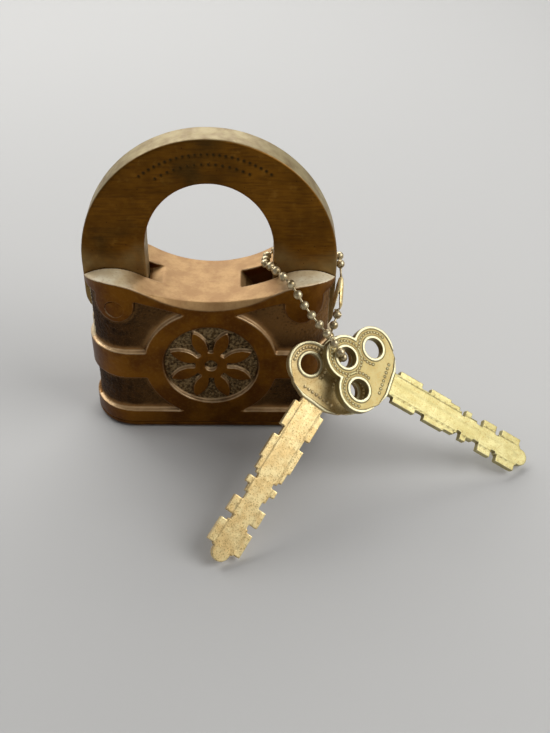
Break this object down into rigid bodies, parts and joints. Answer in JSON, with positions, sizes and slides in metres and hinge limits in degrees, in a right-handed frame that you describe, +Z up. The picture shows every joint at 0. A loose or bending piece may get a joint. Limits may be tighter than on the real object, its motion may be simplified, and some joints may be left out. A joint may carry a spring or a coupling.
{
  "type": "padlock",
  "caption": "Heavy cast brass padlock with a wide flat shackle that swings on its left leg, a lever mechanism keyed from below, and trefoil-bow keys on a ball chain.",
  "frame": {"origin": "centre of the case's flat underside", "axes": "+X towards the toe side of the shackle, -Y out of the front face with the medallion, +Z up through the shackle"},
  "size_m": [0.138, 0.0853, 0.097],
  "materials": {
    "case_brass": "old cast brass, dark stippled fields and rubbed bands",
    "shackle_brass": "aged brass with fine drawn marks and dark patina",
    "inner_brass": "machined, lightly oiled",
    "steel": "oiled",
    "chain_nickel": "worn nickel plate on brass",
    "connector_brass": "folded sheet, bright",
    "key_brass": "pale nickel-brass, speckled with age"
  },
  "bodies": {
    "case": {"case_shell": "case_brass", "bottom_plate": "case_brass", "bottom_rivets": "case_brass", "shackle_pivot_pin": "case_brass", "shackle_spring": "steel", "mechanism_plate": "inner_brass", "plate_screws": "steel", "lever_post": "steel", "lever_spacers": "inner_brass", "lever_stop_post": "steel"},
    "shackle": {"shackle": "shackle_brass"},
    "key_plug": {"key_plug": "inner_brass"},
    "bolt_cam": {"bolt_cam": "inner_brass"},
    "bolt": {"locking_bolt": "inner_brass"},
    "lever_1": {"lever_1": "inner_brass", "lever_spring_1": "steel"},
    "lever_2": {"lever_2": "inner_brass", "lever_spring_2": "steel"},
    "lever_3": {"lever_3": "inner_brass", "lever_spring_3": "steel"},
    "lever_4": {"lever_4": "inner_brass", "lever_spring_4": "steel"},
    "lever_5": {"lever_5": "inner_brass", "lever_spring_5": "steel"},
    "chain_loop": {"loop_beads": "chain_nickel", "loop_links": "chain_nickel"},
    "chain_drop": {"drop_beads": "chain_nickel", "drop_links": "chain_nickel", "chain_connector": "connector_brass"},
    "key_1": {"key_1": "key_brass"},
    "key_2": {"key_2": "key_brass"}
  },
  "joints": [
    {"name": "shackle_swing", "type": "hinge", "parent": "case", "child": "shackle", "pos_m": [-0.0285, 0, 0.0465], "axis": [0, -1, 0], "range_deg": [0, 85]},
    {"name": "key_plug_turn", "type": "hinge", "parent": "case", "child": "key_plug", "pos_m": [0, 0, 0.003], "axis": [0, 0, -1], "range_deg": [0, 113]},
    {"name": "bolt_cam_turn", "type": "hinge", "parent": "case", "child": "bolt_cam", "pos_m": [0, 0, 0.036], "axis": [0, 0, -1], "range_deg": [0, 113]},
    {"name": "bolt_throw", "type": "slide", "parent": "case", "child": "bolt", "axis": [1, 0, 0], "range_m": [0, 0.005]},
    {"name": "lever_1_drop", "type": "hinge", "parent": "case", "child": "lever_1", "pos_m": [-0.014, 0, 0.0093], "axis": [0, 0, -1], "range_deg": [0, 5]},
    {"name": "lever_2_drop", "type": "hinge", "parent": "case", "child": "lever_2", "pos_m": [-0.014, 0, 0.0145], "axis": [0, 0, -1], "range_deg": [0, 5]},
    {"name": "lever_3_drop", "type": "hinge", "parent": "case", "child": "lever_3", "pos_m": [-0.014, 0, 0.0197], "axis": [0, 0, -1], "range_deg": [0, 5]},
    {"name": "lever_4_drop", "type": "hinge", "parent": "case", "child": "lever_4", "pos_m": [-0.014, 0, 0.0249], "axis": [0, 0, -1], "range_deg": [0, 5]},
    {"name": "lever_5_drop", "type": "hinge", "parent": "case", "child": "lever_5", "pos_m": [-0.014, 0, 0.0301], "axis": [0, 0, -1], "range_deg": [0, 5]},
    {"name": "chain_lift", "type": "slide", "parent": "case", "child": "chain_loop", "axis": [0, 0, 1], "range_m": [0, 0.0025]},
    {"name": "chain_swing", "type": "hinge", "parent": "chain_loop", "child": "chain_drop", "pos_m": [0.0166, -0.0022, 0.0562], "axis": [-1, 0, 0], "range_deg": [0, 12]},
    {"name": "key_1_turn", "type": "hinge", "parent": "chain_drop", "child": "key_1", "pos_m": [0.0402, -0.025, 0.03814], "axis": [0.4129, -0.5258, 0.7437], "range_deg": [0, 20]},
    {"name": "key_2_turn", "type": "hinge", "parent": "chain_drop", "child": "key_2", "pos_m": [0.03912, -0.02198, 0.03553], "axis": [0.3053, -0.68, 0.6667], "range_deg": [-20, 0]}
  ],
  "couplings": [
    {"joint": "bolt_cam_turn", "follows": "bolt_throw", "rad_per_m": 394},
    {"joint": "key_plug_turn", "follows": "bolt_throw", "rad_per_m": 394},
    {"joint": "lever_2_drop", "follows": "lever_1_drop", "ratio": 1},
    {"joint": "lever_3_drop", "follows": "lever_1_drop", "ratio": 1},
    {"joint": "lever_4_drop", "follows": "lever_1_drop", "ratio": 1},
    {"joint": "lever_5_drop", "follows": "lever_1_drop", "ratio": 1}
  ]
}
